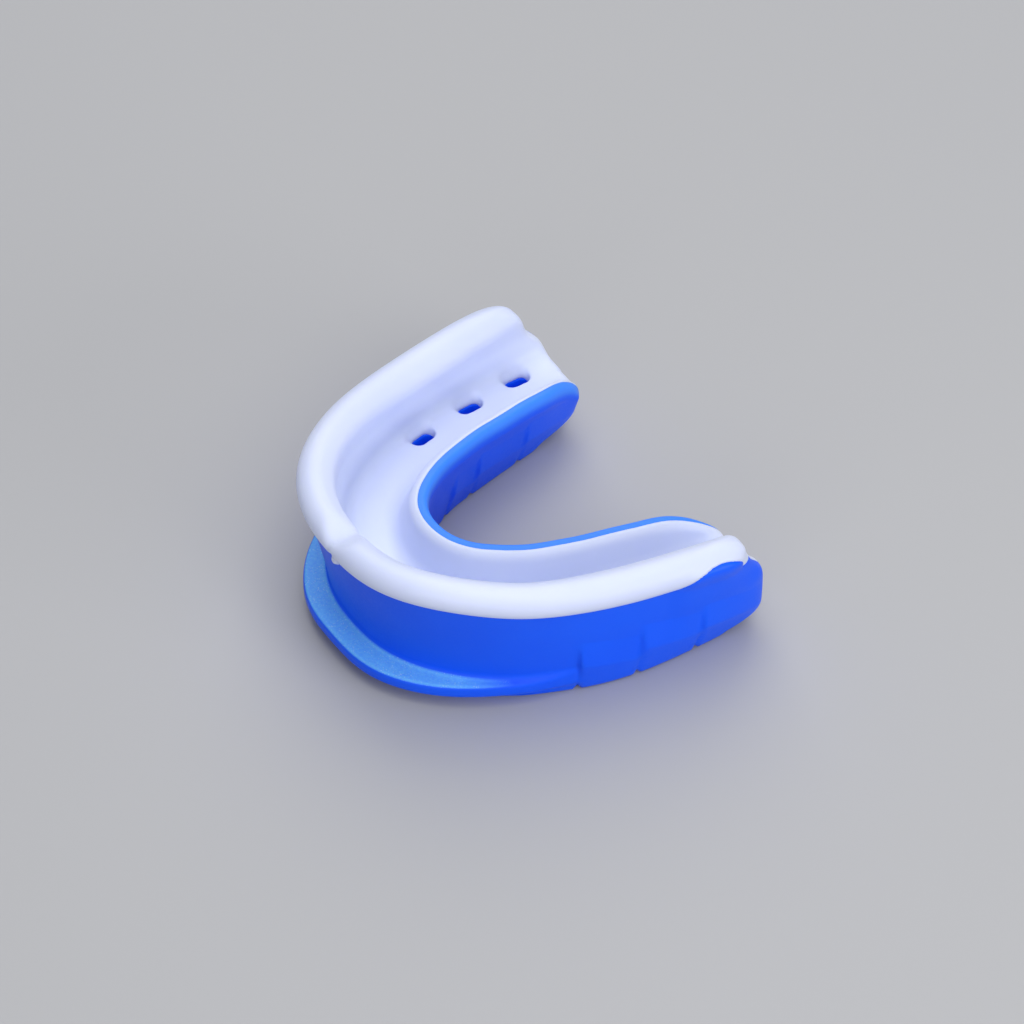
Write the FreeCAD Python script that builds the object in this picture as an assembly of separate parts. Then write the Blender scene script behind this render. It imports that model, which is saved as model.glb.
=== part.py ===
import FreeCAD, Part
import math
import os

# Boil-and-bite mouthguard, millimetres. Two mouldings bonded face to face:
#   outer_shell  firm blue frame: cheek-side wall, bite plate with tread pads, tongue-side wall, lip shelf
#   fit_liner    soft white liner: bead rim with the frenum notch, trough wall and floor, tongue-side lip
# Frame: +Z up with the trough open upward, front teeth towards -Y, wearer's left arm at +X,
# origin at the bottom centre of the bounding box (set by CENTRE_Y at the end).

# ---- driving dimensions --------------------------------------------------------------------
WALL_SHELL = 1.7         # thickness of the shell in the cheek-side wall
LINER_FLOOR = 1.6        # thickness of the liner under the teeth
FLOOR_Z = 10.0           # height of the trough floor
LIP_BAND = 1.15          # width of the rounded top of the tongue-side shell wall
PAD_BAND = 4.4           # height of the bevelled band along the tread pads
PAD_BEVEL = 0.55         # how far the bevel sets the pads in
UNDER_CUT = 0.35         # the blank reaches this far below z = 0 and is cut flat there
ARM_END_Y = 25.7         # where the arms end
FRONT_Y = -28.0          # and the foremost edge of the lip shelf
CENTRE_Y = (ARM_END_Y + FRONT_Y) / 2                # middle of the length, moved to the origin at the end
END_TOP_R = 9.0          # rounding of the cheek-side wall's rear top corner
END_BOTTOM_R = 4.0       # rounding of the arms' rear bottom corner
END_OUTER_R = 4.5        # rounding of the arms' rear outer corner in plan
END_INNER_R = 2.6        # and of the inner one
NOTCH_W = 5.6            # frenum notch in the rim, width and depth
NOTCH_DEPTH = 1.5
HOLE_L = 4.0             # liner holes: length along the arm, width across, depth
HOLE_W = 2.4
HOLE_BOTTOM_Z = 5.9
HOLES = [(21.05, 0.95), (22.65, 10.0), (23.45, 18.7)]   # their centres on the +X arm
GROOVE_W = 1.1           # tread grooves under the bite plate
GROOVE_DEPTH = 0.9
GROOVES_Y = [5.2, 14.6]  # grooves across the arms
GROOVE_FRONT = (19.5, -1.9, -16.0)                  # the slanted groove at the bend: middle and angle
GROOVE_L = 14.0          # length of each groove's cutter, wider than the arm
SHELF_Z0, SHELF_Z1 = 2.2, 4.3                       # lip shelf, lower and upper face
SHELF = [(0, FRONT_Y), (4.3, -27.85), (8.6, -26.9), (12.6, -24.8), (16.4, -21.5), (19.6, -17.3), (22.2, -12.6), (23.9, -8.2), (24.7, -3.4)]
SHELF_ROOT = [(20.5, -3.6), (17.0, -11.5), (10.0, -18.0), (0, -20.5)]      # where it is rooted inside the wall

# One row for each station along the +X half of the arch, front to back:
# base point x, y and outward direction in degrees; then, measured outward from the base point,
# rim axis offset and height, rim bead radius, white-blue edge of the tongue-side lip offset and height,
# floor crease, foot of the tongue-side wall, outer and inner edge of the underside.
STATIONS = [
    (0, -18.4, -90, 7.35, 21.05, 2.3, -6.7, 16.8, 2.6, -4.2, 5.2, -4.8),
    (3.2, -18.1, -80, 7.55, 21.2, 2.32, -6.71, 16.77, 2.75, -4.18, 5.28, -4.9),
    (6.2, -17.2, -69, 7.78, 21.42, 2.33, -6.7, 16.71, 3.03, -4.08, 5.36, -5.03),
    (9, -15.6, -58, 7.82, 21.5, 2.33, -6.62, 16.6, 3.46, -3.76, 5.49, -4.98),
    (11.5, -13.4, -48, 7.66, 21.24, 2.33, -6.52, 16.48, 4, -3.33, 5.76, -4.81),
    (13.7, -10.6, -38, 7.5, 20.64, 2.35, -6.42, 16.36, 4.55, -2.94, 6.18, -4.59),
    (15.6, -7.4, -29, 7.35, 19.94, 2.38, -6.33, 16.17, 4.85, -2.92, 6.49, -4.46),
    (17.1, -3.8, -20.5, 7.17, 19.34, 2.44, -6.19, 15.95, 5, -3.01, 6.64, -4.06),
    (18.4, 0.2, -13, 6.96, 18.85, 2.52, -6.21, 15.78, 4.95, -3.16, 6.81, -3.73),
    (19.6, 4.6, -7, 6.8, 18.5, 2.55, -6.28, 15.54, 4.75, -3.43, 6.73, -3.86),
    (20.7, 9.2, -3, 6.62, 18.33, 2.53, -6.58, 15.23, 4.4, -3.76, 6.17, -4.03),
    (21.7, 13.8, -1, 6.4, 18.22, 2.48, -6.68, 14.89, 3.85, -4.06, 5.33, -4.16),
    (22.6, 18, 0, 6.15, 18.13, 2.43, -6.81, 14.28, 3.16, -4.4, 4.42, -4.31),
    (23.2, 21.5, 0, 5.9, 18.06, 2.38, -6.21, 12.94, 2.59, -4.68, 3.74, -4.28),
    (23.6, 24, 0, 5.62, 18.03, 2.34, -5.91, 11.33, 2.16, -4.98, 3.26, -4.28),
    (23.9, 26, 0, 5.35, 18, 2.3, -6.1, 9.8, 1.8, -5.3, 2.9, -4.3),
]

# ---- helpers -------------------------------------------------------------------------------


def mix(a, b, t):
    return a + (b - a) * t


def section(row):
    """The three open control polygons of a station: shell outside, shared interface, liner outside."""
    bx, by, ang, sr, zr, r, sl, zl, sc, sb, so, si = row
    zf = FLOOR_Z
    # white-blue edge under the bead, and the white-blue edge on the tongue-side lip
    a = (sr + 0.62 * r, zr - 0.78 * r)
    b = (sl, zl)
    mid_o = (mix(so, a[0], 0.50) + 0.1, mix(0, a[1], 0.50))
    outside = [
        a,
        (a[0] + 0.05, a[1] - 0.5),
        (mix(a[0], mid_o[0], 0.5), mix(a[1], mid_o[1], 0.5)),
        mid_o,
        (so + PAD_BEVEL + 0.5, PAD_BAND + 0.6),
        (so + PAD_BEVEL * 0.8 + 0.25, PAD_BAND - 0.8),
        (so + 0.1, 1.2),
        (so, -UNDER_CUT),
        (so - 1.2, -UNDER_CUT),
        (mix(so, si, 0.5), -UNDER_CUT),
        (si + 1.2, -UNDER_CUT),
        (si, -UNDER_CUT),
        (si - 0.1, 1.2),
        (si - PAD_BEVEL * 0.8 - 0.1, PAD_BAND - 0.8),
        (mix(si, sl - LIP_BAND, 0.45), PAD_BAND + 1.0),
        (sl - LIP_BAND, zl - 2.6),
        (sl - LIP_BAND - 0.02, zl - 1.0),
        (sl - LIP_BAND * 0.85, zl - 0.05),
        b,
    ]
    w = WALL_SHELL
    zi = zf - LINER_FLOOR
    low = min(1.2, max(0.3, zl - zi - 1.2))
    inter = [
        b,
        (sl + 0.25, zl - 0.4 * low),
        (sl + 0.6, zl - low),
        (mix(sl + 0.6, sb, 0.7), zi + 0.5 * min(1.5, zl - low - zi)),
        (sb + 0.4, zi),
        (mix(sb, sc, 0.5), zi),
        (min(sc + 0.2, so - w + 0.5), zi),
        (min(sc + 1.0, so - w + 1.0), zi + 1.2),
        (a[0] - w - 0.35, mix(zi, a[1], 0.6)),
        (a[0] - w, a[1] - 1.6),
        (a[0] - w * 0.9, a[1] - 0.1),
        a,
    ]
    k = 1.08239 * r
    c = math.cos
    ring = [(sr + k * math.cos(math.radians(t)), zr + k * math.sin(math.radians(t))) for t in (-22.5, 22.5, 67.5, 112.5, 157.5, 202.5)]
    top = max(zf + 0.25, zl + 0.1)
    liner = [
        a,
        (a[0] + 0.25 * r, a[1] + 0.12 * r),
        *ring,
        (sr - 0.86 * r, zr - 1.35 * r),
        (mix(sr - 0.75 * r, sc, 0.6), mix(zr - 1.35 * r, zf + 0.5, 0.6)),
        (sc + 0.25, zf + 1.4),
        (sc - 0.2, zf + 0.45),
        (sc - 1.2, zf + 0.35),
        (mix(sb, sc, 0.5), zf - 0.1),
        (sb + 0.9, zf - 0.05),
        (sb - 0.1, mix(zf, top, 0.10)),
        (mix(sb, sl + 1.2, 0.6), mix(zf, top, 0.55)),
        (sl + 1.25, mix(zf, top, 0.9)),
        (sl + 0.75, top + 0.12),
        b,
    ]
    return outside, inter, liner


def place(row, p):
    a = math.radians(row[2])
    return FreeCAD.Vector(row[0] + p[0] * math.cos(a), row[1] + p[0] * math.sin(a), p[1])


def mirrored(v):
    return FreeCAD.Vector(-v.x, v.y, v.z)


def spline_face(kind, last_y):
    """A spline surface along the whole arch through the stations' polygons: cubic along, quadratic across."""
    rows = STATIONS
    grid = []
    for r in rows:
        pts = [place(r, p) for p in section(r)[kind]]
        if r is rows[-1]:
            pts = [FreeCAD.Vector(p.x, last_y, p.z) for p in pts]
        grid.append(pts)
    full = [[mirrored(p) for p in g] for g in reversed(grid[1:])] + grid
    n, m = len(full), len(full[0])
    steps = [0.0]
    for i in range(1, n):
        j = (i if i >= n // 2 else n - 1 - i)
        ra, rb = rows[abs(i - 1 - n // 2)], rows[abs(i - n // 2)]
        steps.append(steps[-1] + math.hypot(ra[0] - rb[0], ra[1] - rb[1]))
    cols = []
    for j in range(m):
        c = Part.BSplineCurve()
        c.interpolate(Points=[full[i][j] for i in range(n)], Parameters=steps)
        cols.append(c)
    poles = [[cols[j].getPole(i + 1) for j in range(m)] for i in range(cols[0].NbPoles)]
    vk = [float(x) for x in range(m - 1)]
    vm = [3] + [1] * (m - 3) + [3]
    s = Part.BSplineSurface()
    s.buildFromPolesMultsKnots(poles, cols[0].getMultiplicities(), vm, cols[0].getKnots(), vk, False, False, 3, 2)
    return s


def closed(surfaces):
    """A solid from strips that share their long edges, with flat caps at the two arm ends."""
    faces = [s.toShape() for s in surfaces]
    for end in (0, 1):
        edges = []
        for s in surfaces:
            u = s.bounds()[end]
            edges.append(s.uIso(u).toShape())
        wire = Part.Wire(Part.__sortEdges__(edges))
        faces.append(Part.Face(wire))
    shell = Part.Shell(faces)
    shell.sewShape()
    solid = Part.Solid(shell)
    if solid.Volume < 0:
        solid.reverse()
    return solid


def prism_x(points, x0, x1):
    w = Part.Wire(points)
    return Part.Face(w).extrude(FreeCAD.Vector(x1 - x0, 0, 0))


def end_form():
    """Everything in front of the rounded rear end: its side profile, run across both arms."""
    V = FreeCAD.Vector
    x0 = -45.0
    y1 = ARM_END_Y
    rb = END_BOTTOM_R
    prof = [V(x0, -40, 0), V(x0, y1 - rb - 1.3, 0)]
    # rear bottom corner
    curve = Part.BSplineCurve()
    curve.buildFromPolesMultsKnots(
        [prof[1], V(x0, y1 - 1.9, 1.2), V(x0, y1, 2.6), V(x0, y1, 6.0), V(x0, y1, 9.0), V(x0, y1 - 0.1, 12.4),
         V(x0, y1 - 2.4, 15.2), V(x0, y1 - 4.8, 20.0), V(x0, y1 - 9.0, 20.1), V(x0, y1 - 13.0, 20.6)],
        [4, 1, 1, 1, 1, 1, 1, 4], [0, 1, 2, 3, 4, 5, 6, 7], False, 3)
    top = [V(x0, y1 - 13.0, 20.6), V(x0, y1 - 13.0, 30), V(x0, -40, 30), prof[0]]
    edges = [Part.makeLine(prof[0], prof[1]), curve.toShape()]
    edges += [Part.makeLine(top[i], top[i + 1]) for i in range(3)]
    side = prism_x(edges, x0, 45.0)
    return side


def end_plan(solid_xs):
    """The arms' rounded ends in plan: outer and inner rear corners."""
    V = FreeCAD.Vector
    xo, xi = solid_xs
    y1 = ARM_END_Y
    ro, ri = END_OUTER_R, END_INNER_R
    cuts = []
    for s in (1, -1):
        # outer corner waste
        c = V(s * (xo - ro), y1 - ro, -2)
        p = [V(s * (xo - ro), y1, -2), V(s * (xo + 6), y1, -2), V(s * (xo + 6), y1 - ro, -2), V(s * xo, y1 - ro, -2)]
        mid = V(c.x + s * ro * math.cos(math.pi / 4), c.y + ro * math.sin(math.pi / 4), -2)
        e = [Part.Arc(p[0], mid, p[3]).toShape(), Part.makeLine(p[3], p[2]), Part.makeLine(p[2], V(p[2].x, y1 + 3, -2)),
             Part.makeLine(V(p[2].x, y1 + 3, -2), V(p[0].x, y1 + 3, -2)), Part.makeLine(V(p[0].x, y1 + 3, -2), p[0])]
        cuts.append(Part.Face(Part.Wire(e)).extrude(V(0, 0, 34)))
        c = V(s * (xi + ri), y1 - ri, -2)
        p = [V(s * (xi + ri), y1, -2), V(s * xi, y1 - ri, -2), V(s * (xi - 6), y1 - ri, -2)]
        mid = V(c.x - s * ri * math.cos(math.pi / 4), c.y + ri * math.sin(math.pi / 4), -2)
        e = [Part.Arc(p[0], mid, p[1]).toShape(), Part.makeLine(p[1], p[2]), Part.makeLine(p[2], V(p[2].x, y1 + 3, -2)),
             Part.makeLine(V(p[2].x, y1 + 3, -2), V(p[0].x, y1 + 3, -2)), Part.makeLine(V(p[0].x, y1 + 3, -2), p[0])]
        cuts.append(Part.Face(Part.Wire(e)).extrude(V(0, 0, 34)))
    return cuts


def slot_prism(x, y, length, width, z0, z1):
    V = FreeCAD.Vector
    h, r = length / 2 - width / 2, width / 2
    a, b, c, d = V(x + r, y - h, z0), V(x + r, y + h, z0), V(x - r, y + h, z0), V(x - r, y - h, z0)
    e = [Part.makeLine(a, b), Part.Arc(b, V(x, y + h + r, z0), c).toShape(), Part.makeLine(c, d), Part.Arc(d, V(x, y - h - r, z0), a).toShape()]
    return Part.Face(Part.Wire(e)).extrude(V(0, 0, z1 - z0))


def box_at(x, y, ang, lx, ly, z0, z1):
    b = Part.makeBox(lx, ly, z1 - z0, FreeCAD.Vector(-lx / 2, -ly / 2, z0))
    b.rotate(FreeCAD.Vector(0, 0, 0), FreeCAD.Vector(0, 0, 1), ang)
    b.translate(FreeCAD.Vector(x, y, 0))
    return b


# ---- build ---------------------------------------------------------------------------------
outside = spline_face(0, ARM_END_Y + 0.8)
inter = spline_face(1, ARM_END_Y + 0.8)
inside = spline_face(2, ARM_END_Y + 0.8)
shell = closed([outside, inter])
liner = closed([inter, inside])
print("blanks", shell.isValid(), round(shell.Volume, 1), liner.isValid(), round(liner.Volume, 1))

form = end_form()
last = STATIONS[-1]
plan = end_plan((last[0] + last[3] + last[5] + 0.1, last[0] + last[6] - 1.9))
shell = shell.common(form).cut(plan)
liner = liner.common(form).cut(plan)

# lip shelf across the front, grown out of the shell
pts = [FreeCAD.Vector(-x, y, SHELF_Z0) for x, y in reversed(SHELF[1:])] + [FreeCAD.Vector(x, y, SHELF_Z0) for x, y in SHELF]
rim = Part.BSplineCurve()
rim.interpolate(Points=pts)
inner = [FreeCAD.Vector(x, y, SHELF_Z0) for x, y in SHELF_ROOT]
inner = inner + [mirrored(p) for p in reversed(inner[:-1])]
edges = [rim.toShape()] + [Part.makeLine(pts[-1], inner[0])] + [Part.makeLine(inner[i], inner[i + 1]) for i in range(len(inner) - 1)] + [Part.makeLine(inner[-1], pts[0])]
shelf = Part.Face(Part.Wire(edges)).extrude(FreeCAD.Vector(0, 0, SHELF_Z1 - SHELF_Z0))
shell = shell.fuse(shelf)

# tread grooves across the underside
cuts = []
for s in (1, -1):
    for y in GROOVES_Y:
        cuts.append(box_at(s * 21.5, y, 0, GROOVE_L, GROOVE_W, -1, GROOVE_DEPTH))
    gx, gy, ga = GROOVE_FRONT
    cuts.append(box_at(s * gx, gy, s * ga, GROOVE_L, GROOVE_W, -1, GROOVE_DEPTH))
# liner holes, which stop inside the bite plate
holes = [slot_prism(s * x, y, HOLE_L, HOLE_W, HOLE_BOTTOM_Z, 14) for s in (1, -1) for x, y in HOLES]
shell = shell.cut(cuts + holes)
# frenum notch in the rim
nr = (NOTCH_W ** 2 / 4 + NOTCH_DEPTH ** 2) / (2 * NOTCH_DEPTH)
top_z = STATIONS[0][4] + STATIONS[0][5]
notch = Part.makeCylinder(nr, 12, FreeCAD.Vector(0, -32, top_z - NOTCH_DEPTH + nr), FreeCAD.Vector(0, 1, 0))
liner = liner.cut(holes + [notch])

# origin to the bottom centre of the bounding box
shift = FreeCAD.Vector(0, -CENTRE_Y, 0)
nodes = {"outer_shell": shell, "fit_liner": liner}
os.makedirs("parts", exist_ok=True)
for name, shape in nodes.items():
    shape.translate(shift)
    solids = shape.Solids
    print(name, "solids", len(solids), "valid", shape.isValid(), "volume", round(shape.Volume, 1), shape.BoundBox)
    out = solids[0] if len(solids) == 1 else Part.makeCompound(solids)
    out.exportStep("parts/%s.step" % name)
print("overlap", round(shell.common(liner).Volume, 4))
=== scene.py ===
import math

import bpy
import numpy as np
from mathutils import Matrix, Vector


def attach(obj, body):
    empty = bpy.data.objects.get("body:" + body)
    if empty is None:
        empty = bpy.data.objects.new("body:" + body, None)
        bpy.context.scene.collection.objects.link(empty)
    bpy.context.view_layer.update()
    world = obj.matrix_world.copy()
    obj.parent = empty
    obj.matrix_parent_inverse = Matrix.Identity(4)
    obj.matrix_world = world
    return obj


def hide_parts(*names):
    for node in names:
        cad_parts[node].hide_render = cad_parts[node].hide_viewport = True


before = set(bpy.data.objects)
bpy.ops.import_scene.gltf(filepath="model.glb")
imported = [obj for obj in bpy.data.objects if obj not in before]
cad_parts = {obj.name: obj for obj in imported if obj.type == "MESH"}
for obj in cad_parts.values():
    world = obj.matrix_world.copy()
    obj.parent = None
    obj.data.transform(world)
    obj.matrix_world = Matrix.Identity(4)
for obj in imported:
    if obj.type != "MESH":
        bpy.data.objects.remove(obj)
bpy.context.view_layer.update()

# ============================================================================================
# Boil-and-bite mouthguard. Both mouldings are meshed from one implicit model, in millimetres:
# u runs along the arch, s outward from the arch's base line and z up. Front teeth towards -Y.
# ============================================================================================
SHIFT_Y = 1.15                       # from the arch's own frame to the CAD origin
CELL_SHELL = (0.385, 0.28, 0.28)     # mesh cells in u, s, z
CELL_LINER = (0.34, 0.25, 0.25)

# base point x, y and outward direction; then, outward from the base point: rim axis offset and
# height, rim radius, white-blue edge of the lip offset and height, crease, foot of the
# tongue-side wall, outer and inner edge of the underside
STATIONS = np.array([
    (0.0, -18.4, -90, 7.35, 21.05, 2.30, -6.70, 16.80, 2.60, -4.20, 5.20, -4.80),
    (3.2, -18.1, -80, 7.55, 21.20, 2.32, -6.71, 16.77, 2.75, -4.18, 5.28, -4.90),
    (6.2, -17.2, -69, 7.78, 21.42, 2.33, -6.70, 16.71, 3.03, -4.08, 5.36, -5.03),
    (9.0, -15.6, -58, 7.82, 21.50, 2.33, -6.62, 16.60, 3.46, -3.76, 5.49, -4.98),
    (11.5, -13.4, -48, 7.66, 21.24, 2.33, -6.52, 16.48, 4.00, -3.33, 5.76, -4.81),
    (13.7, -10.6, -38, 7.50, 20.64, 2.35, -6.42, 16.36, 4.55, -2.94, 6.18, -4.59),
    (15.6, -7.4, -29, 7.35, 19.94, 2.38, -6.33, 16.17, 4.85, -2.92, 6.49, -4.46),
    (17.1, -3.8, -20.5, 7.17, 19.34, 2.44, -6.19, 15.95, 5.00, -3.01, 6.64, -4.06),
    (18.4, 0.2, -13, 6.96, 18.85, 2.52, -6.21, 15.78, 4.95, -3.16, 6.81, -3.73),
    (19.6, 4.6, -7, 6.80, 18.50, 2.55, -6.28, 15.54, 4.75, -3.43, 6.73, -3.86),
    (20.7, 9.2, -3, 6.62, 18.33, 2.53, -6.58, 15.23, 4.40, -3.76, 6.17, -4.03),
    (21.7, 13.8, -1, 6.40, 18.22, 2.48, -6.68, 14.89, 3.85, -4.06, 5.33, -4.16),
    (22.6, 18.0, 0, 6.15, 18.13, 2.43, -6.81, 14.28, 3.16, -4.40, 4.42, -4.31),
    (23.2, 21.5, 0, 5.90, 18.06, 2.38, -6.21, 12.94, 2.59, -4.68, 3.74, -4.28),
    (23.6, 24.0, 0, 5.62, 18.03, 2.34, -5.91, 11.33, 2.16, -4.98, 3.26, -4.28),
    (23.9, 26.0, 0, 5.35, 18.00, 2.30, -6.10, 9.80, 1.80, -5.30, 2.90, -4.30),
], float)

FLOOR_Z = 10.0
UNDER_LINER_Z = 8.4
LIP_BAND = 1.5
ARM_END_Y = 25.7
HOLES = [(21.3, 0.9, -13.0), (22.9, 10.0, -3.0), (23.7, 18.7, 0.0)]
HOLE_BOTTOM_Z = 5.9
GROOVE_1 = (24.45, -3.3, -16.0)
GROOVE_2, GROOVE_3 = 5.2, 14.6
SHELF = [(0, -28.0), (4.3, -27.85), (8.6, -26.9), (12.6, -24.8), (16.4, -21.5), (19.6, -17.3), (22.2, -12.6), (23.9, -8.2), (24.7, -3.4)]
SHELF_IN = [(20.5, -3.6), (17.0, -11.5), (10.0, -18.0), (0, -20.5)]
END_PROFILE = [(20.4, 0.0), (23.1, 0.8), (25.15, 2.6), (25.7, 5.6), (25.8, 9.0), (25.25, 11.9), (23.3, 14.6), (22.1, 17.6), (20.45, 20.4), (17.0, 22.8)]


def spline(xk, yk):
    """Natural cubic through the points, straight beyond both ends."""
    xk, yk = np.asarray(xk, float), np.asarray(yk, float)
    n = len(xk)
    h = np.diff(xk)
    A, b = np.eye(n), np.zeros(n)
    for i in range(1, n - 1):
        A[i, i - 1], A[i, i], A[i, i + 1] = h[i - 1], 2 * (h[i - 1] + h[i]), h[i]
        b[i] = 6 * ((yk[i + 1] - yk[i]) / h[i] - (yk[i] - yk[i - 1]) / h[i - 1])
    m = np.linalg.solve(A, b)

    def f(x):
        x = np.asarray(x, float)
        i = np.clip(np.searchsorted(xk, x) - 1, 0, n - 2)
        t = np.clip(x, xk[0], xk[-1])
        a, c = xk[i + 1] - t, t - xk[i]
        y = (m[i] * a ** 3 + m[i + 1] * c ** 3) / (6 * h[i]) + (yk[i] / h[i] - m[i] * h[i] / 6) * a + (yk[i + 1] / h[i] - m[i + 1] * h[i] / 6) * c
        d0 = (yk[1] - yk[0]) / h[0] - h[0] * (2 * m[0] + m[1]) / 6
        d1 = (yk[-1] - yk[-2]) / h[-1] + h[-1] * (m[-2] + 2 * m[-1]) / 6
        return y + np.where(x < xk[0], (x - xk[0]) * d0, 0) + np.where(x > xk[-1], (x - xk[-1]) * d1, 0)

    return f


US = np.r_[0, np.cumsum(np.hypot(*np.diff(STATIONS[:, :2], axis=0).T))]
U_FULL = np.r_[-US[1:][::-1], US]
LOOK_U = np.linspace(-62, 62, 6201)
NAMES = ["bx", "by", "phi", "sr", "zr", "R", "sl", "zl", "sc", "sb", "so", "si"]
LOOK = {}
for _i, _n in enumerate(NAMES):
    _v = STATIONS[:, _i].copy()
    if _n == "phi":
        _v = _v + 90
    _odd = -1 if _n in ("bx", "phi") else 1
    LOOK[_n] = spline(U_FULL, np.r_[_odd * _v[1:][::-1], _v])(LOOK_U)
_ph = np.radians(LOOK.pop("phi") - 90)
LOOK["nx"], LOOK["ny"] = np.cos(_ph), np.sin(_ph)


def look(u):
    return {k: np.interp(u, LOOK_U, v) for k, v in LOOK.items()}


def smin(a, b, k):
    h = np.maximum(k - np.abs(a - b), 0) / k
    return np.minimum(a, b) - h * h * k * 0.25


def smax(a, b, k):
    h = np.maximum(k - np.abs(a - b), 0) / k
    return np.maximum(a, b) + h * h * k * 0.25


def ramp(x):
    t = np.clip(x, 0, 1)
    return t * t * (3 - 2 * t)


def soft(x, r):
    """max(x, 0) with its corner rounded over r."""
    return 0.5 * (x + np.sqrt(x * x + r * r))


class Plane2D:
    """Signed distance to a closed outline, tabulated and read with bilinear interpolation."""

    def __init__(self, pts, lo, hi, step=0.1):
        P = np.asarray(pts, float)
        Q = np.roll(P, -1, axis=0)
        self.lo, self.step = lo, step
        nx, ny = int((hi[0] - lo[0]) / step) + 2, int((hi[1] - lo[1]) / step) + 2
        X, Y = np.meshgrid(lo[0] + np.arange(nx) * step, lo[1] + np.arange(ny) * step, indexing="ij")
        best, inside = np.full(X.shape, 1e9), np.zeros(X.shape, bool)
        for (ax, ay), (cx, cy) in zip(P, Q):
            ex, ey = cx - ax, cy - ay
            L = ex * ex + ey * ey
            if L < 1e-12:
                continue
            t = np.clip(((X - ax) * ex + (Y - ay) * ey) / L, 0, 1)
            best = np.minimum(best, (X - ax - t * ex) ** 2 + (Y - ay - t * ey) ** 2)
            if abs(ey) > 1e-12:
                cross = ((ay > Y) != (cy > Y)) & (X < ax + (Y - ay) / ey * ex)
                inside ^= cross
        self.d = np.sqrt(best) * np.where(inside, -1, 1)

    def __call__(self, x, y):
        gx, gy = (x - self.lo[0]) / self.step, (y - self.lo[1]) / self.step
        gx, gy = np.clip(gx, 0, self.d.shape[0] - 1.001), np.clip(gy, 0, self.d.shape[1] - 1.001)
        i, j = gx.astype(int), gy.astype(int)
        fx, fy = gx - i, gy - j
        d = self.d
        return (d[i, j] * (1 - fx) + d[i + 1, j] * fx) * (1 - fy) + (d[i, j + 1] * (1 - fx) + d[i + 1, j + 1] * fx) * fy


def through(pts, n):
    """Points along a smooth curve through pts."""
    P = np.asarray(pts, float)
    t = np.r_[0, np.cumsum(np.hypot(*np.diff(P, axis=0).T))]
    q = np.linspace(0, t[-1], n)
    return np.c_[spline(t, P[:, 0])(q), spline(t, P[:, 1])(q)]


_sh = through([(-x, y) for x, y in reversed(SHELF[1:])] + SHELF, 240)
_in = SHELF_IN + [(-x, y) for x, y in reversed(SHELF_IN[:-1])]
SHELF_PLAN = Plane2D(np.vstack([_sh, _in]), (-28, -31), (28, 2))
_ep = through(END_PROFILE, 160)
END_SIDE = Plane2D(np.vstack([[(-40, -30), (20.4, -30)], _ep, [(8, 27), (-40, 50)]]), (6, -2), (30, 26))


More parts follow.
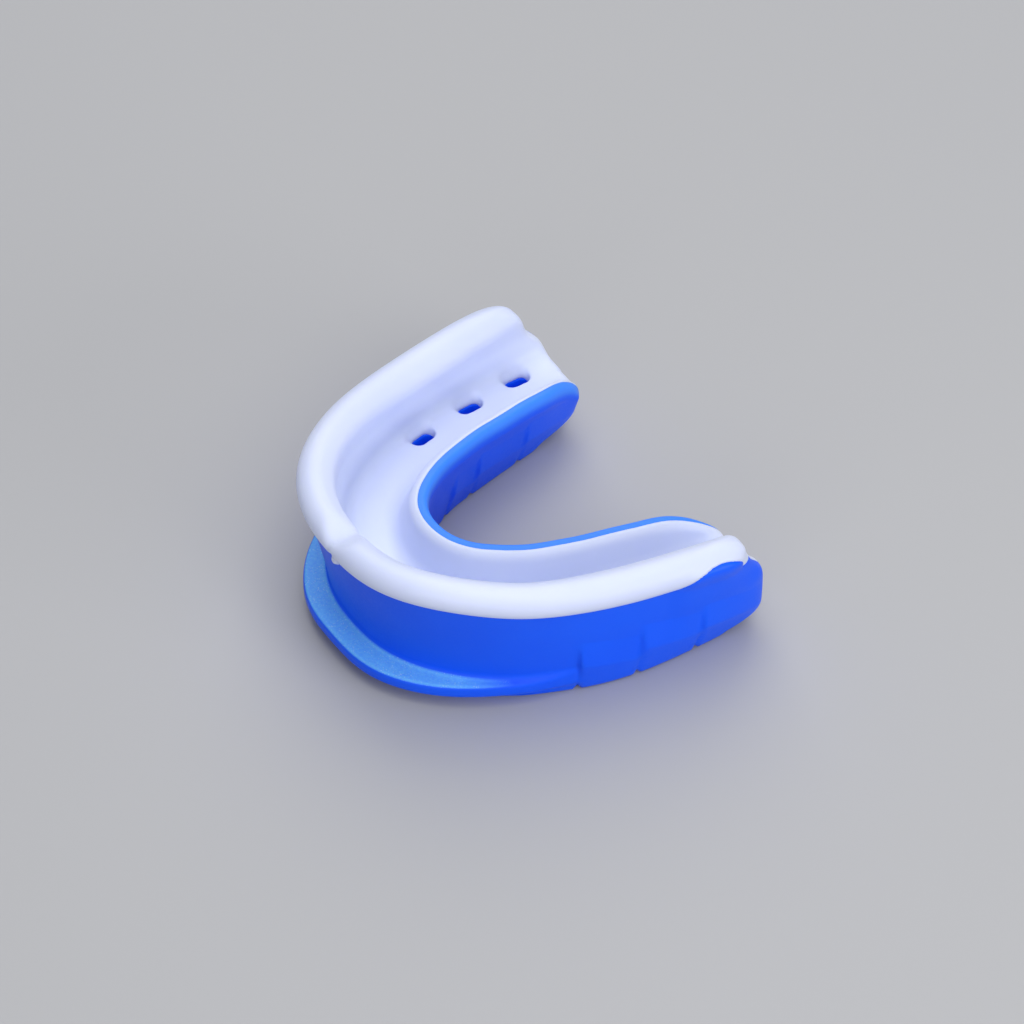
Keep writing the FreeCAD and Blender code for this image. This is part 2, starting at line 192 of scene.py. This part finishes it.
def parts(u, s, z):
    """Everything both mouldings are made from at points (u, s, z)."""
    p = look(u)
    x, y = p["bx"] + s * p["nx"], p["by"] + s * p["ny"]
    X = np.abs(x)
    sr, zr, R, sl, zl, sc, sb, so, si = (p[k] for k in ("sr", "zr", "R", "sl", "zl", "sc", "sb", "so", "si"))
    end = END_SIDE(np.maximum(y, 6.2), z)
    far = np.where(y > 6.2, end, -20.0)

    # grooves and bevelled pads of the tread
    gx, gy, ga = GROOVE_1
    c, n_ = math.cos(math.radians(ga)), math.sin(math.radians(ga))
    d1 = -n_ * (X - gx) + c * (y - gy)
    w12 = np.clip(d1 / np.maximum(d1 + (GROOVE_2 - y), 0.5), 0, 1)
    t2, t3 = ramp((y - GROOVE_2 + 0.3) / 0.6), ramp((y - GROOVE_3 + 0.3) / 0.6)
    w2, w3 = np.clip((y - GROOVE_2) / (GROOVE_3 - GROOVE_2), 0, 1), np.clip((y - GROOVE_3) / (ARM_END_Y - GROOVE_3), 0, 1)
    H = (5.9 - 1.6 * w12) * (1 - t2) + (6.4 - 1.5 * w2) * t2 * (1 - t3) + (6.3 - 1.6 * w3) * t3
    B = (0.80 - 0.35 * w12) * (1 - t2) + (0.95 - 0.45 * w2) * t2 * (1 - t3) + (0.95 - 0.45 * w3) * t3
    start = ramp((d1 + 0.3) / 0.6)
    dd = np.minimum(np.minimum(np.abs(d1) + np.where(y > 4, 9, 0), np.abs(y - GROOVE_2)), np.abs(y - GROOVE_3))
    v = np.maximum(0, 1 - np.sqrt(dd * dd + 0.01) / 0.62)
    v = np.where(s > -20, v, v)
    slot = 0.34 * v * ramp((H + 0.8 - z) / 3.5)

    # outer face of the wall, from the underside's edge to below the bead
    lap_on = ramp((y - 8.5) / 4.0)
    a0, a1 = sr + (0.62 + 0.24 * lap_on) * R, zr - (0.78 - 0.40 * lap_on) * R
    t = np.clip(z / a1, -0.2, 1.4)
    hollow = -0.55 * np.exp(-(u / 24.0) ** 2) + 0.12
    pad = np.maximum(start * smin(z / H, (H + 4.5 - z) / 4.5, 0.14), 0)
    base = so + 0.12 + 0.15 * ramp((np.abs(u) - 22) / 8)
    s_out = base + (a0 - base) * t + hollow * 4 * t * (1 - t) + B * pad - slot
    disc = np.hypot(s - sr, z - zr) - R

    # tongue-side face of the shell
    zt = zl - 2.4
    ti = np.clip(z / np.maximum(zt, 4.0), -0.2, 1.0)
    foot_in = si - 0.3 - 0.4 * ramp((31 - np.abs(u)) / 10)
    s_face = foot_in + (sl - LIP_BAND - foot_in) * ti
    s_in = s_face + 0.12 * 4 * ti * (1 - ti) - 0.7 * B * pad + 0.5 * slot

    # trough
    z_f = FLOOR_Z - 0.2 + 0.45 * np.clip((s - sb) / (sc - sb), -0.2, 1.2)
    top_w = np.maximum(zl - 0.5, 11.2)
    s_top = np.minimum(sl + 1.2, sb - 0.05)
    s_tw = sb + (s_top - sb) * (z - 9.9) / (top_w - 9.9)
    s_t = sc + (sr - 1.04 * R - sc) * np.clip((z - 10.6) / (zr - 0.2 * R - 10.6), -0.3, 1.0)
    foot = (s_tw - s) / np.sqrt(1 + ((s_top - sb) / (top_w - 9.9)) ** 2)
    void = smax(smax(foot, z_f - z, 2.2), s - s_t, 2.0)

    # interface between the mouldings: negative in the shell
    s_iw = np.where(z < UNDER_LINER_Z, sc + 0.9, sc + 0.9 + (sr + 0.62 * R - 1.75 - sc - 0.9) * np.clip((z - UNDER_LINER_Z) / (a1 - UNDER_LINER_Z), 0, 1.3))
    s_il = s_face + LIP_BAND - 0.12 + 0.04 * (zl - z)
    above = smax(smax(UNDER_LINER_Z - z, s_il - s, 0.5), s - s_iw, 0.5)

    mid = 0.5 * (sb + sc)
    top = np.maximum(zl - 0.03 + 0.12 * ramp((s - s_il + 0.1) / 0.5), z_f + 0.02)
    return dict(x=x, y=y, X=X, s=s, z=z, u=u, sr=sr, zr=zr, R=R, sl=sl, zl=zl, sc=sc, sb=sb, far=far, v=v, s_out=s_out, s_in=s_in, s_il=s_il, lap_on=lap_on,
                disc=disc, void=void, above=above, top=top, z_f=z_f, a1=a1, mid=mid, z_cut=cover_height(y))


COVER_Y = np.array([-60, 7.6, 9.6, 11.3, 13.0, 14.4, 15.6, 16.6, 17.6, 18.8, 20.0, 21.3, 22.6, 24.0, 30.0])
COVER_Z = np.array([9.0, 14.6, 16.3, 17.2, 18.2, 18.7, 18.9, 18.9, 18.65, 18.15, 17.45, 16.75, 15.9, 14.9, 9.0])

COVER_FINE = np.linspace(-60, 30, 1801)
_blur = np.exp(-np.linspace(-2.5, 2.5, 41) ** 2)
COVER_SMOOTH = np.convolve(np.pad(np.interp(COVER_FINE, COVER_Y, COVER_Z), 20, "edge"), _blur / _blur.sum(), "valid")


def cover_height(y):
    """Height of the white-blue edge where the shell laps over the bead's side, near the arms' ends."""
    return np.interp(y, COVER_FINE, COVER_SMOOTH)


def hole_cut(g, bottom):
    """Pockets in the trough floor: crisp on the tongue side, dished on the cheek side."""
    best = np.full(np.shape(g["x"]), 9.0)
    soft_k = np.full(np.shape(g["x"]), 0.35)
    for hx, hy, ang in HOLES:
        ca, sa = math.cos(math.radians(ang)), math.sin(math.radians(ang))
        across = (g["X"] - hx) * ca + (g["y"] - hy) * sa
        along = -(g["X"] - hx) * sa + (g["y"] - hy) * ca
        grow = np.minimum(soft(g["z"] - 8.9, 0.5), 1.3)
        w, c = 1.05 + 0.25 * grow, -0.40 + 0.28 * grow
        d = np.hypot(np.maximum(np.abs(along) - 0.80, 0), across - c) - w
        near = d < best
        soft_k = np.where(near, 0.35 + 0.6 * ramp(across + 0.2), soft_k)
        best = np.where(near, d, best)
    return np.maximum(np.maximum(best, bottom - g["z"]), g["z"] - 11.0), soft_k


def body_and_split(g):
    """The outside of both mouldings together, and the split between them: negative in the liner."""
    s, z, y, far = g["s"], g["z"], g["y"], g["far"]
    side, inner = s - g["s_out"], g["s_in"] - s
    lip = smax(z - g["top"], 1.7 * inner, 1.5)
    hull = smax(side, np.where(s < g["mid"], lip, np.maximum(inner, z - g["zr"])), 0.6)
    hull = smax(hull, 0.62 * (-z + 0.80 * g["v"]), 0.75)
    hull = smax(hull, -g["void"], 1.5)
    shelf = smax(SHELF_PLAN(g["x"], np.minimum(y, 1.9)), np.abs(z - 3.25) - 1.05, 0.65)
    hull = smin(hull, shelf, 1.3)
    # rim bead: merges softly into the trough, stands proud of the wall outside
    bead = g["disc"] + 0.20 * np.exp(-(g["x"] / 0.45) ** 2)
    inside = ramp((g["sr"] + 0.2 - s) / 1.4)
    body = smin(hull, bead, np.where(inside > 0, 0.15 + 2.6 * inside, 0.15 + 1.1 * g["lap_on"]))
    # frenum notch, with its small tab and dimple on the outside
    zn = 21.45 + 0.86 * np.sqrt(g["x"] ** 2 + 0.40) + np.where(y > -10, 20, 0)
    body = smax(body, z - zn, 1.5)
    tab = np.sqrt(g["x"] ** 2 + (y + 26.95) ** 2 + ((z - 18.50) * 0.9) ** 2) - 0.58
    body = smin(body, tab, 0.6)
    dimple = np.sqrt(g["x"] ** 2 + (y + 28.05) ** 2 + (z - 18.95) ** 2) - 0.36
    body = smax(body, -dimple, 0.35)
    # the arms' ends are rounded most on the cheek side; deep inside, the field is levelled so that the end face is even
    k_end = 1.8 + (1.7 * ramp((s - g["sc"] - 0.2) / 3.2) + 2.0 * ramp((s - g["sr"] + 0.6) / 2.4)) * ramp((z - 2) / 9) + 1.4 * ramp((g["s_il"] + 0.2 - s) / 1.0)
    body = np.where(body < 0, 1.5 * np.tanh(body / 1.5), body)
    body = smax(body, far, k_end)

    ray = -0.783 * (s - g["sr"]) - 0.622 * (z - g["zr"])       # through the bead's axis and the crease below it
    split = np.minimum(np.minimum(g["above"], np.minimum(g["disc"] - 0.05, ray)), tab - 0.35)
    # the shell laps over the bead's side near the ends
    lap = smax(z - g["z_cut"], g["sr"] + 0.62 * g["R"] - s, 0.9)
    return body, smax(split, -lap, 0.35)


def liner_field(u, s, z):
    g = parts(u, s, z)
    body, split = body_and_split(g)
    hole, k = hole_cut(g, -5.0)
    return smax(smax(body, split, 0.4), -hole, k)


def shell_field(u, s, z):
    g = parts(u, s, z)
    body, split = body_and_split(g)
    # the skin dips under the liner's edge, and the bonded face lies 0.4 mm inside it
    f = smax(body + 0.5 * soft(-split, 0.05), -split - 0.4, 0.1)
    hole, _ = hole_cut(g, HOLE_BOTTOM_Z)
    return smax(f, -hole, 0.25)


def lip_band_painted_sheen(v):
    """1 on the blue band along the top of the liner's lip, fading down its tongue-side face; there the blue is painted
    lighter, a painted sheen of the light from above.
    """
    g = parts(v[:, 0], v[:, 1], v[:, 2])
    run = np.maximum(g["s_il"] - g["s"], 0) + np.maximum(g["zl"] - g["z"], 0)
    return (1 - ramp((run - 2.0) / 1.6)) * (1 - ramp((g["s"] - g["s_il"] - 0.1) / 0.5))


def to_world(v):
    p = look(v[:, 0])
    return np.c_[p["bx"] + v[:, 1] * p["nx"], p["by"] + v[:, 1] * p["ny"] + SHIFT_Y, v[:, 2]] * 0.001


# ---- surface extraction --------------------------------------------------------------------
def extract(field, lo, hi, cell):
    n = [int(math.ceil((hi[k] - lo[k]) / cell[k])) + 1 for k in range(3)]
    if n[0] % 2 == 0:
        n[0] += 1
    ax = [np.linspace(lo[k], hi[k], n[k]) for k in range(3)]
    st = np.array([a[1] - a[0] for a in ax])
    F = np.empty(n, np.float32)
    for i in range(0, n[0], 24):
        U, S, Z = np.meshgrid(ax[0][i:i + 24], ax[1], ax[2], indexing="ij")
        F[i:i + 24] = field(U, S, Z)
    F[F == 0] = 1e-6
    neg = F < 0
    c = neg[:-1, :-1, :-1].astype(np.int8)
    total = np.zeros_like(c)
    for dx in (0, 1):
        for dy in (0, 1):
            for dz in (0, 1):
                total += neg[dx:n[0] - 1 + dx, dy:n[1] - 1 + dy, dz:n[2] - 1 + dz]
    cells = np.argwhere((total > 0) & (total < 8))
    index = np.full(total.shape, -1, np.int64)
    index[tuple(cells.T)] = np.arange(len(cells))
    corner = {}
    for dx in (0, 1):
        for dy in (0, 1):
            for dz in (0, 1):
                corner[dx, dy, dz] = F[cells[:, 0] + dx, cells[:, 1] + dy, cells[:, 2] + dz].astype(float)
    acc, cnt = np.zeros((len(cells), 3)), np.zeros(len(cells))
    for axis in range(3):
        o1, o2 = [k for k in range(3) if k != axis]
        for a in (0, 1):
            for b in (0, 1):
                k0 = [0, 0, 0]
                k0[o1], k0[o2] = a, b
                k1 = list(k0)
                k1[axis] = 1
                f0, f1 = corner[tuple(k0)], corner[tuple(k1)]
                m = (f0 < 0) != (f1 < 0)
                t = np.where(m, f0 / np.where(m, f0 - f1, 1), 0)
                pt = np.tile(np.array(k0, float), (len(cells), 1))
                pt[:, axis] = t
                acc[m] += pt[m]
                cnt[m] += 1
    v = np.array([a[0] for a in ax]) + (cells + acc / cnt[:, None]) * st
    faces = []
    for axis in range(3):
        o1, o2 = [(1, 2), (2, 0), (0, 1)][axis]
        sl0 = [slice(None)] * 3
        sl1 = [slice(None)] * 3
        sl0[axis], sl1[axis] = slice(0, -1), slice(1, None)
        a, b = neg[tuple(sl0)], neg[tuple(sl1)]
        e = np.argwhere(a != b)
        e = e[(e[:, o1] > 0) & (e[:, o2] > 0) & (e[:, o1] < n[o1] - 1) & (e[:, o2] < n[o2] - 1)]
        flip = ~a[tuple(e.T)]
        quad = []
        for d1, d2 in ((-1, -1), (0, -1), (0, 0), (-1, 0)):
            q = e.copy()
            q[:, o1] += d1
            q[:, o2] += d2
            quad.append(index[tuple(q.T)])
        quad = np.stack(quad, 1)
        quad[flip] = quad[flip][:, ::-1]
        faces.append(quad)
    faces = np.vstack(faces)
    # even out the mesh, then put every vertex back on the surface
    for _ in range(2):
        centre = v[faces].mean(1)
        total, count = np.zeros_like(v), np.zeros(len(v))
        for k in range(4):
            np.add.at(total, faces[:, k], centre)
            np.add.at(count, faces[:, k], 1)
        v = 0.5 * v + 0.5 * total / np.maximum(count, 1)[:, None]
        v = project(field, v, 2, 0.5 * st.min())
    return project(field, v, 3, 0.5 * st.min()), faces


def project(field, v, times, cap):
    h = 0.03
    for _ in range(times):
        f = field(v[:, 0], v[:, 1], v[:, 2])
        g = np.empty_like(v)
        for k in range(3):
            d = np.zeros(3)
            d[k] = h
            a, b = v + d, v - d
            g[:, k] = (field(a[:, 0], a[:, 1], a[:, 2]) - field(b[:, 0], b[:, 1], b[:, 2])) / (2 * h)
        step = f[:, None] * g / np.maximum((g * g).sum(1), 0.05)[:, None]
        size = np.linalg.norm(step, axis=1)
        v = v - step * np.minimum(1, cap / np.maximum(size, 1e-9))[:, None]
    return v


def to_mesh(name, v, faces, material):
    w = to_world(v)
    a, b, c = w[faces[:, 0]], w[faces[:, 1]], w[faces[:, 2]]
    volume = (a * np.cross(b, c)).sum() + (a * np.cross(c, w[faces[:, 3]])).sum()
    if volume < 0:
        faces = faces[:, ::-1]
    me = bpy.data.meshes.new(name)
    me.vertices.add(len(w))
    me.vertices.foreach_set("co", w.astype(np.float32).ravel())
    me.loops.add(len(faces) * 4)
    me.loops.foreach_set("vertex_index", faces.astype(np.int32).ravel())
    me.polygons.add(len(faces))
    me.polygons.foreach_set("loop_start", np.arange(0, len(faces) * 4, 4, dtype=np.int32))
    me.polygons.foreach_set("use_smooth", np.ones(len(faces), bool))
    me.update(calc_edges=True)
    me.validate()
    ob = bpy.data.objects.new(name, me)
    bpy.context.scene.collection.objects.link(ob)
    me.materials.append(material)
    print(name, "verts", len(w), "faces", len(faces), "volume cm3", round(abs(volume) / 6 * 1e6, 2), "box mm", np.round(w.min(0) * 1000, 2), np.round(w.max(0) * 1000, 2))
    return ob


# ---- materials -----------------------------------------------------------------------------
def new_material(name):
    m = bpy.data.materials.new(name)
    m.use_nodes = True
    nt = m.node_tree
    bsdf = next(n for n in nt.nodes if n.type == "BSDF_PRINCIPLED")
    return m, nt, bsdf


def add(nt, kind, **values):
    n = nt.nodes.new(kind)
    for k, v in values.items():
        if k in n.inputs:
            n.inputs[k].default_value = v
        else:
            setattr(n, k, v)
    return n


def plain_material(name, colour, rough):
    m, nt, b = new_material(name)
    b.inputs["Base Color"].default_value = (*colour, 1)
    b.inputs["Roughness"].default_value = rough
    return m


def link(nt, a, out, b, inp):
    nt.links.new(a.outputs[out], b.inputs[inp])


def noise(nt, coord, scale, detail=3.0, rough=0.55, stretch=None):
    n = add(nt, "ShaderNodeTexNoise", Scale=scale, Detail=detail, Roughness=rough)
    if stretch:
        mp = add(nt, "ShaderNodeMapping", Scale=stretch)
        link(nt, coord, "Object", mp, "Vector")
        link(nt, mp, "Vector", n, "Vector")
    else:
        link(nt, coord, "Object", n, "Vector")
    return n


def remap(nt, node, out, lo, hi, to_lo, to_hi):
    m = add(nt, "ShaderNodeMapRange")
    for k, val in zip(("From Min", "From Max", "To Min", "To Max"), (lo, hi, to_lo, to_hi)):
        m.inputs[k].default_value = val
    link(nt, node, out, m, "Value")
    return m


def math_node(nt, op, a, b):
    m = add(nt, "ShaderNodeMath", operation=op)
    for k, val in enumerate((a, b)):
        if isinstance(val, (int, float)):
            m.inputs[k].default_value = val
        else:
            nt.links.new(val.outputs["Result" if val.bl_idname == "ShaderNodeMapRange" else 0], m.inputs[k])
    return m


def mix_colour(nt, factor, a, b):
    m = nt.nodes.new("ShaderNodeMix")
    m.data_type = "RGBA"
    m.inputs[6].default_value = (*a, 1) if isinstance(a, tuple) else (0, 0, 0, 1)
    m.inputs[7].default_value = (*b, 1) if isinstance(b, tuple) else (0, 0, 0, 1)
    nt.links.new(factor.outputs["Result" if factor.bl_idname == "ShaderNodeMapRange" else 0], m.inputs[0])
    for k, val in ((6, a), (7, b)):
        if not isinstance(val, tuple):
            nt.links.new(val.outputs[2], m.inputs[k])
    return m


def bump_chain(nt, shader, layers):
    """Stacked bumps: (height node, output, strength, distance in metres)."""
    last = None
    for node, out, strength, dist in layers:
        b = add(nt, "ShaderNodeBump", Strength=strength, Distance=dist)
        link(nt, node, out, b, "Height")
        if last:
            link(nt, last, "Normal", b, "Normal")
        last = b
    link(nt, last, "Normal", shader, "Normal")


def white_eva():
    m, nt, b = new_material("soft_white_eva")
    co = add(nt, "ShaderNodeTexCoord")
    cloud = noise(nt, co, 55.0, 3.0)
    fine = noise(nt, co, 2600.0, 2.0)
    flow = noise(nt, co, 160.0, 2.0, 0.5, (1.0, 0.45, 1.0))
    speck = noise(nt, co, 900.0, 4.0, 0.7)
    tone = mix_colour(nt, remap(nt, cloud, "Fac", 0.35, 0.65, 0.0, 1.0), (0.67, 0.725, 0.95), (0.64, 0.70, 0.93))
    dirt = remap(nt, speck, "Fac", 0.66, 0.78, 0.0, 0.25)
    tone = mix_colour(nt, dirt, tone, (0.54, 0.58, 0.74))
    nt.links.new(tone.outputs[2], b.inputs["Base Color"])
    r = math_node(nt, "ADD", remap(nt, cloud, "Fac", 0.3, 0.7, 0.36, 0.46), remap(nt, fine, "Fac", 0.3, 0.7, -0.03, 0.04))
    nt.links.new(r.outputs[0], b.inputs["Roughness"])
    b.inputs["Subsurface Weight"].default_value = 0.30
    b.inputs["Subsurface Radius"].default_value = (0.9, 0.8, 1.0)
    b.inputs["Subsurface Scale"].default_value = 0.0016
    b.inputs["Specular IOR Level"].default_value = 0.42
    b.inputs["IOR"].default_value = 1.48
    b.inputs["Sheen Weight"].default_value = 0.04
    bump_chain(nt, b, [(flow, "Fac", 0.25, 0.00012), (fine, "Fac", 0.22, 0.00003)])
    return m


def blue_rubber():
    m, nt, b = new_material("firm_blue_rubber")
    co = add(nt, "ShaderNodeTexCoord")
    cloud = noise(nt, co, 48.0, 3.0)
    fine = noise(nt, co, 2400.0, 3.0)
    flow = noise(nt, co, 140.0, 2.0, 0.5, (0.6, 0.6, 1.4))
    grain = add(nt, "ShaderNodeTexVoronoi", Scale=3300.0, feature="F1")
    link(nt, co, "Object", grain, "Vector")
    scuff = noise(nt, co, 700.0, 5.0, 0.75, (1.0, 1.0, 0.22))
    # the upper face of the lip shelf has a coarser grain; there the blue is painted lighter, a painted sheen of the
    # light from above, with painted glints on the grain
    xyz = add(nt, "ShaderNodeSeparateXYZ")
    link(nt, co, "Object", xyz, "Vector")
    low = remap(nt, xyz, "Z", 0.0046, 0.0066, 1.0, 0.0)
    front = remap(nt, xyz, "Y", -0.0170, -0.0110, 1.0, 0.0)
    up = add(nt, "ShaderNodeNewGeometry")
    nz = add(nt, "ShaderNodeSeparateXYZ")
    link(nt, up, "Normal", nz, "Vector")
    flat = remap(nt, nz, "Z", 0.55, 0.9, 0.0, 1.0)
    shelf = math_node(nt, "MULTIPLY", math_node(nt, "MULTIPLY", low, front), flat)
    # painted glints: light specks on the grain cells of the shelf's up-facing top
    painted_glint = remap(nt, grain, "Distance", 0.08, 0.38, 1.0, 0.0)
    painted_glint = math_node(nt, "MULTIPLY", painted_glint, remap(nt, scuff, "Fac", 0.42, 0.60, 0.0, 1.0))
    base = mix_colour(nt, remap(nt, cloud, "Fac", 0.35, 0.65, 0.0, 1.0), (0.005, 0.112, 1.00), (0.005, 0.100, 0.96))
    # painted sheen: the up-facing top of the shelf is painted a lighter blue
    base = mix_colour(nt, math_node(nt, "MULTIPLY", shelf, remap(nt, fine, "Fac", 0.3, 0.7, 0.75, 1.0)), base, (0.155, 0.53, 1.0))
    base = mix_colour(nt, math_node(nt, "MULTIPLY", math_node(nt, "MULTIPLY", shelf, painted_glint), 0.8), base, (0.55, 0.78, 1.0))
    # painted sheen: the top of the lip band is painted a lighter blue, fading down its tongue-side face
    skin = add(nt, "ShaderNodeAttribute", attribute_name="lip_band_painted_sheen")
    thin = remap(nt, skin, "Fac", 0.0, 1.0, 0.0, 0.75)
    base = mix_colour(nt, thin, base, (0.065, 0.30, 1.0))
    worn = remap(nt, scuff, "Fac", 0.68, 0.80, 0.0, 0.18)
    base = mix_colour(nt, worn, base, (0.06, 0.20, 0.95))
    nt.links.new(base.outputs[2], b.inputs["Base Color"])
    r = math_node(nt, "ADD", remap(nt, cloud, "Fac", 0.3, 0.7, 0.38, 0.47), remap(nt, fine, "Fac", 0.3, 0.7, -0.03, 0.05))
    r = math_node(nt, "ADD", r, math_node(nt, "MULTIPLY", shelf, 0.06))
    nt.links.new(r.outputs[0], b.inputs["Roughness"])
    b.inputs["Specular IOR Level"].default_value = 0.24
    b.inputs["IOR"].default_value = 1.48
    b.inputs["Subsurface Weight"].default_value = 0.10
    b.inputs["Subsurface Radius"].default_value = (0.1, 0.4, 1.0)
    b.inputs["Subsurface Scale"].default_value = 0.0010
    rough_grain = math_node(nt, "MULTIPLY", shelf, remap(nt, grain, "Distance", 0.0, 0.6, 0.0, 1.0))
    bump_chain(nt, b, [(flow, "Fac", 0.25, 0.00012), (fine, "Fac", 0.25, 0.00003), (rough_grain, 0, 0.5, 0.00006)])
    return m


BLUE = blue_rubber()
WHITE = white_eva()

# ---- pieces --------------------------------------------------------------------------------
LO, HI = (-57.0, -9.6, -0.8), (57.0, 11.4, 25.2)
v, q = extract(shell_field, LO, HI, CELL_SHELL)
shell = to_mesh("outer_shell_moulding", v, q, BLUE)
# mask for the painted sheen on the lip band
skin = shell.data.attributes.new("lip_band_painted_sheen", "FLOAT", "POINT")
skin.data.foreach_set("value", lip_band_painted_sheen(v).astype(np.float32))
v, q = extract(liner_field, LO, HI, CELL_LINER)
liner = to_mesh("fit_liner_moulding", v, q, WHITE)

for piece, node, slot in ((shell, "outer_shell", "shell_blue"), (liner, "fit_liner", "liner_white")):
    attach(piece, "root")
    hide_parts(node)

# ---- floor, light, camera ------------------------------------------------------------------
floor_me = bpy.data.meshes.new("floor")
floor_me.from_pydata([(-1.5, -1.5, 0), (1.5, -1.5, 0), (1.5, 1.5, 0), (-1.5, 1.5, 0)], [], [(0, 1, 2, 3)])
floor = bpy.data.objects.new("floor", floor_me)
bpy.context.scene.collection.objects.link(floor)
floor.location.z = -0.00005
floor_me.materials.append(plain_material("floor_paint", (0.44, 0.44, 0.45), 0.75))


def area(name, loc, aim, size, power, colour=(1, 1, 1)):
    li = bpy.data.lights.new(name, "AREA")
    li.shape = "RECTANGLE"
    li.size, li.size_y = size
    li.energy = power
    li.color = colour
    ob = bpy.data.objects.new(name, li)
    bpy.context.scene.collection.objects.link(ob)
    ob.location = loc
    ob.rotation_mode = "QUATERNION"
    ob.rotation_quaternion = (Vector(aim) - Vector(loc)).to_track_quat("-Z", "Y")
    return ob


CENTRE = Vector((0, 0, 0.010))
area("key_right", (0.36, -0.04, 0.50), CENTRE, (0.42, 0.42), 1.10)
area("top", (-0.02, 0.02, 0.62), CENTRE, (0.50, 0.50), 1.60)
area("back_top", (-0.42, 0.28, 0.50), CENTRE, (0.60, 0.60), 1.95)
area("fill_front", (0.42, -0.46, 0.20), CENTRE, (0.50, 0.30), 0.92)
area("fill_right", (0.58, 0.22, 0.16), CENTRE, (0.40, 0.22), 1.25)

world = bpy.data.worlds.new("studio")
bpy.context.scene.world = world
world.use_nodes = True
bg = next(n for n in world.node_tree.nodes if n.type == "BACKGROUND")
bg.inputs["Color"].default_value = (0.85, 0.90, 1.0, 1)
bg.inputs["Strength"].default_value = 0.24

AZ, EL, DIST = math.radians(56.19), math.radians(45.0), 0.7
target = Vector((-0.001274, 0.003 + SHIFT_Y * 0.001, 0.010))
back = Vector((math.sin(AZ) * math.cos(EL), -math.cos(AZ) * math.cos(EL), math.sin(EL)))
cam = bpy.data.cameras.new("camera")
cam_ob = bpy.data.objects.new("camera", cam)
bpy.context.scene.collection.objects.link(cam_ob)
cam.sensor_width = 36.0
cam.lens = 7.1 * 700 * 36.0 / 1024
cam.clip_start, cam.clip_end = 0.01, 10
cam_ob.location = target + back * DIST
cam_ob.rotation_mode = "QUATERNION"
cam_ob.rotation_quaternion = (-back).to_track_quat("-Z", "Y")
bpy.context.scene.camera = cam_ob

view = bpy.context.scene.view_settings
view.view_transform = "Standard"
view.look = "None"
